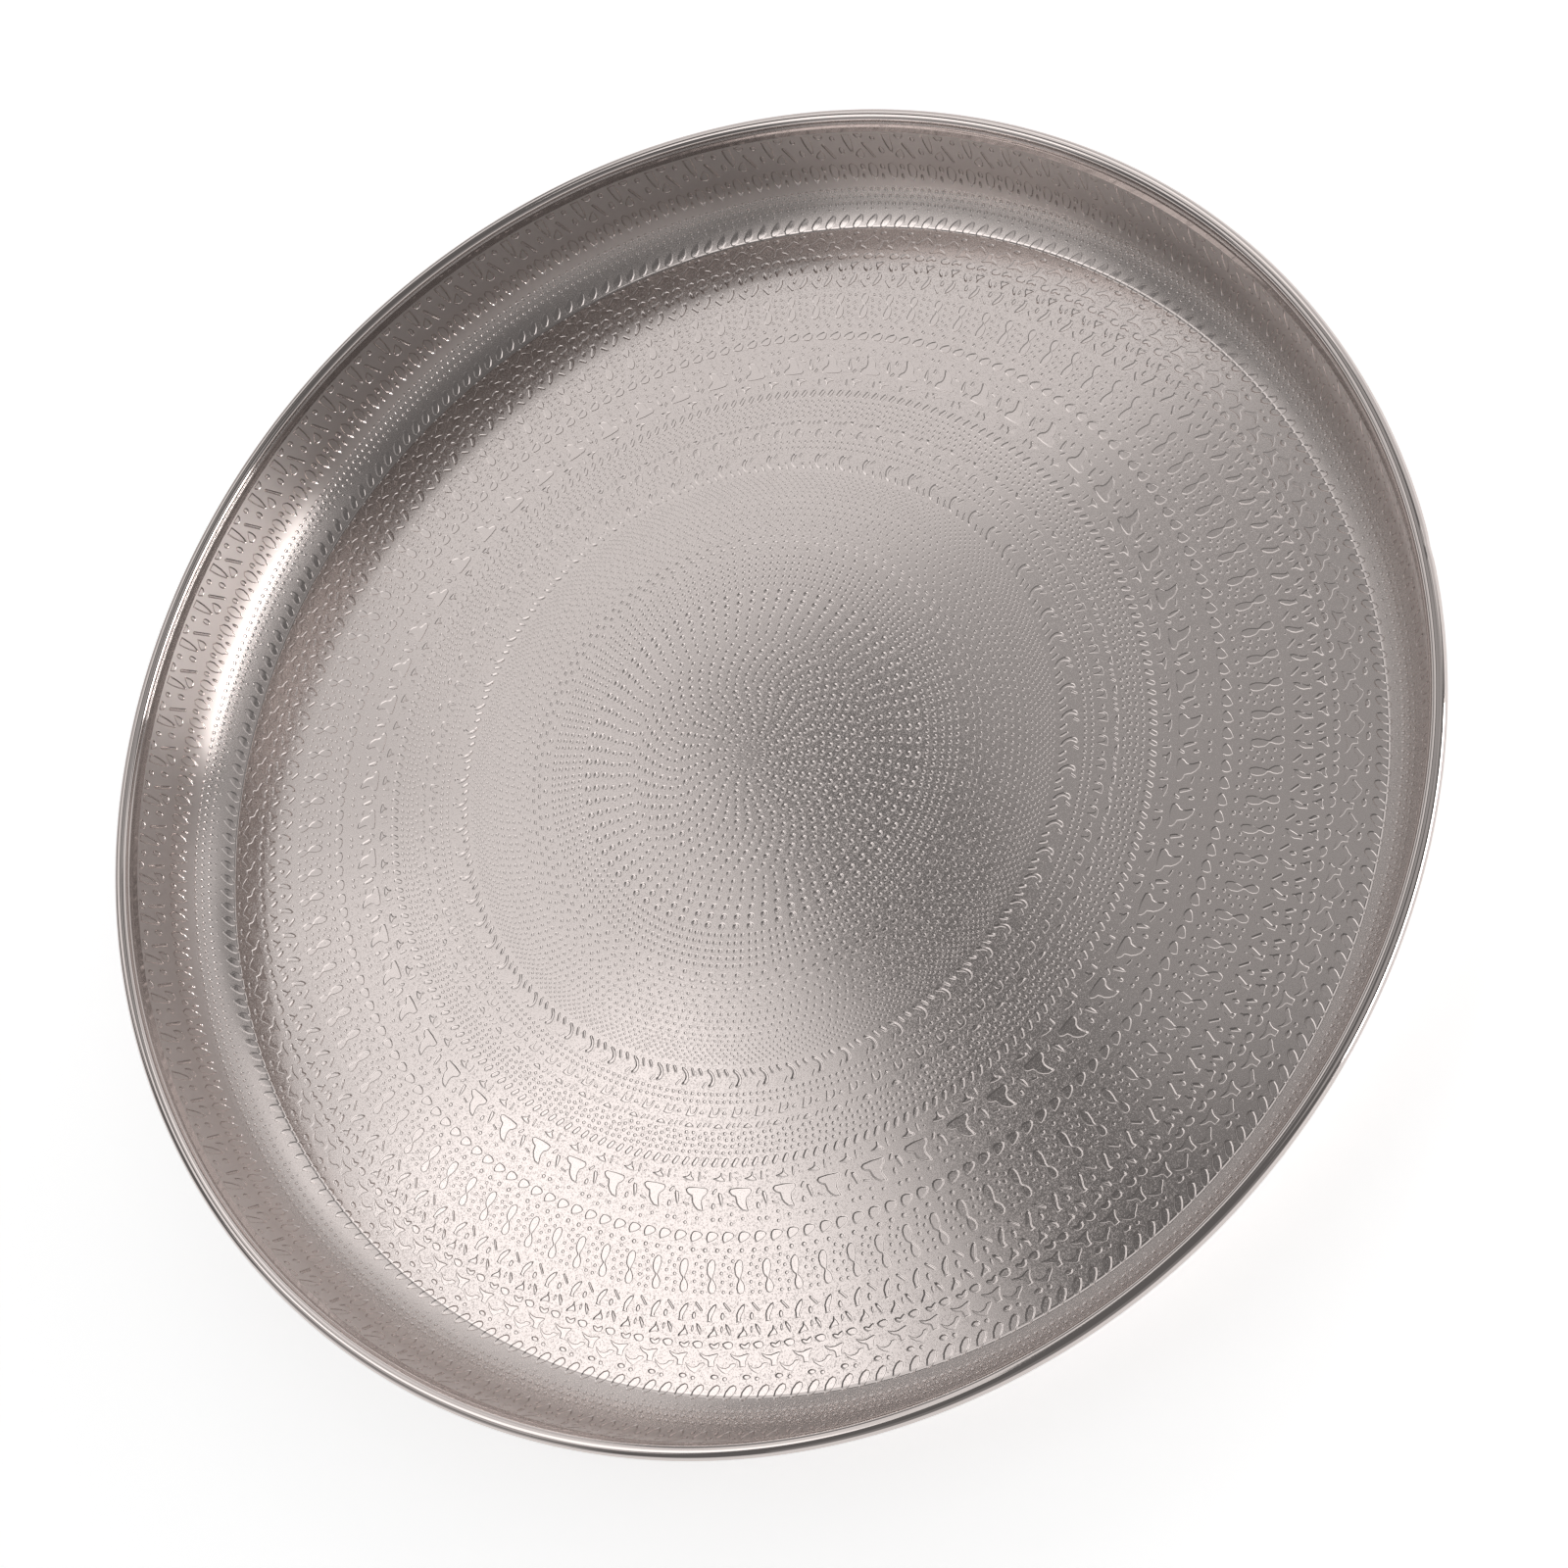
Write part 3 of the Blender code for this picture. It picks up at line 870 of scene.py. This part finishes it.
def steel_material(finish):
    """Steel with faint patches of tone and a fine grain that scatters between two roughnesses."""
    material = bpy.data.materials.new(finish.name)
    material.use_nodes = True
    tree = material.node_tree
    surface = tree.nodes["Principled BSDF"]
    surface.inputs["Metallic"].default_value = 1.0
    place = tree.nodes.new("ShaderNodeTexCoord")

    patches = noise(tree, place, PATCH_SCALE, PATCH_DETAIL)
    tone = mix_colours(tree, patches.outputs["Fac"], STEEL_DEEP, STEEL_PALE)
    tree.links.new(tone.outputs["Result"], surface.inputs["Base Color"])

    grain = noise(tree, place, GRAIN_SCALE, GRAIN_DETAIL)
    sheen = map_range(tree, grain.outputs["Fac"], GRAIN_SMOOTH, GRAIN_ROUGH, finish.polish, finish.haze)
    tree.links.new(sheen.outputs["Result"], surface.inputs["Roughness"])

    bump = tree.nodes.new("ShaderNodeBump")
    bump.inputs["Strength"].default_value = finish.grain
    bump.inputs["Distance"].default_value = GRAIN_DEPTH
    tree.links.new(grain.outputs["Fac"], bump.inputs["Height"])
    tree.links.new(bump.outputs["Normal"], surface.inputs["Normal"])
    if finish.brushed:
        brush_round(tree, surface, place, sheen, finish.brushed)
    return material


# ---------------------------------------------------------------- the pieces

def add_object(name, data):
    made = bpy.data.objects.new(name, data)
    bpy.context.scene.collection.objects.link(made)
    return made


def make_pan():
    points, normals, faces, kinds, coordinates = pan_arrays()
    mesh = mesh_from("embossed_pan", points, normals, faces, kinds, coordinates)
    for kind in sorted(PAN_FINISHES):
        mesh.materials.append(steel_material(PAN_FINISHES[kind]))
    pan = add_object("embossed_pan", mesh)
    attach(pan, "root")
    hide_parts("tray_pan")


def finish_wire():
    """The wire keeps its CAD shape."""
    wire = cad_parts["rim_wire"]
    wire.data.materials.clear()
    wire.data.materials.append(steel_material(WIRE_FINISH))


# ---------------------------------------------------------------- stage, light and camera

FLOOR_SIZE = 30.0
FLOOR_COLOUR = (0.82, 0.82, 0.82, 1.0)
FLOOR_GLOW = 0.58
FLOOR_ROUGHNESS = 0.9
WHITE = (1.0, 1.0, 1.0, 1.0)
HORIZON_COLOUR = WHITE
OVERHEAD_COLOUR = (0.17, 0.17, 0.17, 1.0)
HORIZON_TOP, OVERHEAD_FROM = 0.06, 0.30# sines of elevation

CAMERA_PLACE = (0.00069, -0.29356, 0.52226)
CAMERA_TILT = radians(61.751)
CAMERA_ROLL = radians(47.918)
LENS_MM, SENSOR_MM = 45.82, 36.0

# Radiance 1 is white
Panel = namedtuple("Panel", "name middle target size turn radiance")
PANELS = [
    Panel("far_panel", (0.16, 1.00, 1.0), (0.16, 1.00, 0.0), (2.4, 0.75), radians(-20.5), 0.62),
    Panel("far_right", (0.60, 0.84, 1.02), (0.60, 0.84, 0.0), (1.5, 0.75), radians(-20.5), 0.20),
    Panel("left_panel", (-0.332, 0.402, 1.0), (-0.332, 0.402, 0.0), (0.464, 0.735), radians(-17.0), 0.84),
    Panel("left_core", (-0.427, 0.282, 1.02), (-0.427, 0.282, 0.0), (0.36, 0.53), radians(-17.0), 0.80),
    Panel("left_far", (-0.48, 0.69, 1.04), (-0.48, 0.69, 0.0), (0.36, 0.36), radians(-17.0), 0.26),
    Panel("wedge_fill", (0.38, 0.26, 1.1), (0.38, 0.26, 0.0), (0.6, 0.6), radians(-20.5), 0.28),
    Panel("right_panel", (1.00, 0.42, 0.62), (0.0, 0.0, 0.0), (2.3, 0.7), 0.0, 0.62),
    Panel("near_lamp", (0.70, -0.93, 0.18), (0.0, 0.0, 0.0), (0.80, 0.30), 0.0, 8.5),
    Panel("near_glow", (0.6, -0.5, 0.95), (0.0, 0.0, 0.0), (1.1, 0.6), 0.0, 0.32),
    Panel("left_side", (-0.85, 0.24, 0.95), (0.0, 0.0, 0.0), (0.7, 0.45), 0.0, 0.45),
    Panel("left_low", (-1.2, 0.1, 0.42), (0.0, 0.0, 0.0), (0.8, 0.5), 0.0, 0.24),
    Panel("far_low", (-0.2, 1.6, 0.5), (0.0, 0.0, 0.0), (1.4, 0.7), 0.0, 0.15),
    Panel("near_fill", (-0.6, -1.2, 0.5), (0.0, 0.0, 0.0), (1.6, 1.0), 0.0, 0.12),
]


def make_floor():
    """White paper that glows enough to be white in the picture, and still takes a shadow."""
    half = FLOOR_SIZE / 2
    corners = [(-half, -half, 0), (half, -half, 0), (half, half, 0), (-half, half, 0)]
    mesh = bpy.data.meshes.new("stage_floor")
    mesh.from_pydata(corners, [], [(0, 1, 2, 3)])
    floor = add_object("stage_floor", mesh)
    material = bpy.data.materials.new("white_paper")
    material.use_nodes = True
    surface = material.node_tree.nodes["Principled BSDF"]
    surface.inputs["Base Color"].default_value = FLOOR_COLOUR
    surface.inputs["Roughness"].default_value = FLOOR_ROUGHNESS
    surface.inputs["Specular IOR Level"].default_value = 0.0
    surface.inputs["Emission Color"].default_value = WHITE
    surface.inputs["Emission Strength"].default_value = FLOOR_GLOW
    mesh.materials.append(material)


def make_world():
    """White to a little above the horizon, and a greyer studio overhead."""
    world = bpy.data.worlds.new("studio")
    world.use_nodes = True
    tree = world.node_tree
    place = tree.nodes.new("ShaderNodeTexCoord")
    rise = map_range(tree, height_of(tree, place.outputs["Generated"]), HORIZON_TOP, OVERHEAD_FROM)
    rise.interpolation_type = "SMOOTHSTEP"
    tone = mix_colours(tree, rise.outputs["Result"], HORIZON_COLOUR, OVERHEAD_COLOUR)
    tree.links.new(tone.outputs["Result"], tree.nodes["Background"].inputs["Color"])
    bpy.context.scene.world = world


def make_lamps():
    """Evenly lit rectangles, placed where the tray mirrors them."""
    for name, middle, target, size, turn, radiance in PANELS:
        lamp = bpy.data.lights.new(name, "AREA")
        lamp.shape = "RECTANGLE"
        lamp.size, lamp.size_y = size
        lamp.energy = pi * size[0] * size[1] * radiance
        panel = add_object(name, lamp)
        panel.location = middle
        aim = (Vector(target) - Vector(middle)).to_track_quat("-Z", "Y")
        panel.rotation_euler = (aim @ Quaternion((0.0, 0.0, 1.0), turn)).to_euler()
        panel.visible_camera = False


def make_camera():
    """The camera as solved from the rim's outline and the ornament's rings."""
    camera = bpy.data.cameras.new("photo_camera")
    camera.sensor_width = SENSOR_MM
    camera.lens = LENS_MM
    holder = add_object("photo_camera", camera)
    roll, tilt = CAMERA_ROLL, CAMERA_TILT
    right = Vector((cos(roll), -sin(roll) * sin(tilt), -sin(roll) * cos(tilt)))
    up = Vector((sin(roll), cos(roll) * sin(tilt), cos(roll) * cos(tilt)))
    back = right.cross(up)
    holder.matrix_world = Matrix((
        (right.x, up.x, back.x, CAMERA_PLACE[0]),
        (right.y, up.y, back.y, CAMERA_PLACE[1]),
        (right.z, up.z, back.z, CAMERA_PLACE[2]),
        (0.0, 0.0, 0.0, 1.0)))
    bpy.context.scene.camera = holder


make_pan()
finish_wire()
make_floor()
make_world()
make_lamps()
make_camera()
bpy.context.scene.view_settings.view_transform = "Standard"
